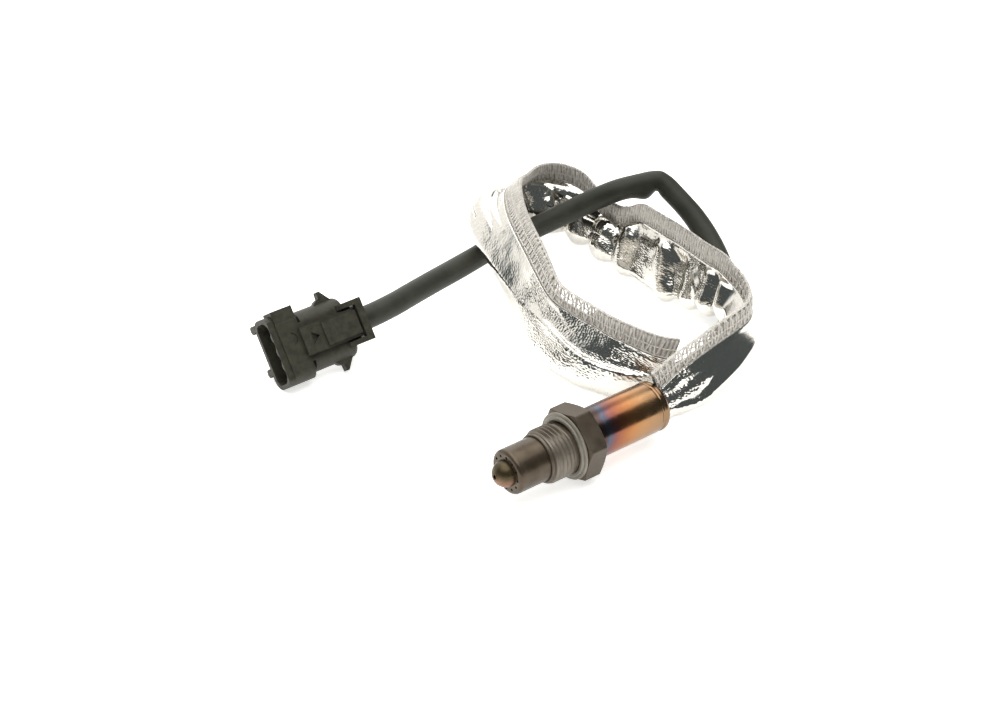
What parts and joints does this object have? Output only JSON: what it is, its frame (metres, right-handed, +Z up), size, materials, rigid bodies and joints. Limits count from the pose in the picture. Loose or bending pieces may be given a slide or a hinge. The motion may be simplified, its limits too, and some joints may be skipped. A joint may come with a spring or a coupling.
{
  "type": "oxygen sensor",
  "caption": "Screw-in oxygen sensor with a hexagon body, heat-tinted rear tube, a looped cable in a stitched reflective heat sleeve, and a flat latching plug.",
  "frame": {"origin": "on the sensor's axis at the front face of the seal ring, the face that seats on the exhaust boss", "axes": "+X along the sensor's axis towards the tip, the screwing-in direction; +Z up as the sensor lies on a flat surface; +Y completes a right-handed frame"},
  "size_m": [0.1686, 0.1438, 0.0379],
  "materials": {
    "steel_body": "satin, turned, light grease on the thread",
    "steel_ring": "satin",
    "steel_tube": "satin, faintly browned",
    "steel_dome": "satin, copper tinted",
    "heat_tinted_steel": "bright, blue to gold heat tint from the hexagon to the rear",
    "zirconia": "matt",
    "alumina": "matt",
    "talc": "pressed powder",
    "spring_steel": "bright",
    "contact_nickel": "bright",
    "grommet_rubber": "matt",
    "lead_insulation": "satin",
    "sheath_rubber": "smooth satin",
    "aluminised_cloth": "mirror-like foil face on woven glass, finely crinkled",
    "seam_thread": "beige-grey overlock tape",
    "plug_plastic": "fine grained, dark olive black",
    "lock_plastic": "matt",
    "terminal_brass": "tin plated",
    "gland_rubber": "matt"
  },
  "bodies": {
    "root": {"cable_gland": "gland_rubber", "cable_sheath": "sheath_rubber", "clamp_ring": "spring_steel", "connector_housing": "plug_plastic", "contact_holder_a": "alumina", "contact_holder_b": "alumina", "contact_spring_1": "contact_nickel", "contact_spring_2": "contact_nickel", "contact_spring_3": "contact_nickel", "contact_spring_4": "contact_nickel", "grommet": "grommet_rubber", "heat_sleeve": "aluminised_cloth", "hex_shell": "steel_body", "inner_protection_tube": "steel_dome", "lower_bushing": "alumina", "outer_protection_tube": "steel_tube", "plug_lead_1": "lead_insulation", "plug_lead_2": "lead_insulation", "plug_lead_3": "lead_insulation", "plug_lead_4": "lead_insulation", "rear_sleeve": "heat_tinted_steel", "seal_ring": "steel_ring", "secondary_lock": "lock_plastic", "sensing_element": "zirconia", "sensor_lead_1": "lead_insulation", "sensor_lead_2": "lead_insulation", "sensor_lead_3": "lead_insulation", "sensor_lead_4": "lead_insulation", "sleeve_stitching": "seam_thread", "talc_packing": "talc", "terminal_1": "terminal_brass", "terminal_2": "terminal_brass", "terminal_3": "terminal_brass", "terminal_4": "terminal_brass", "upper_bushing": "alumina"}
  },
  "joints": []
}
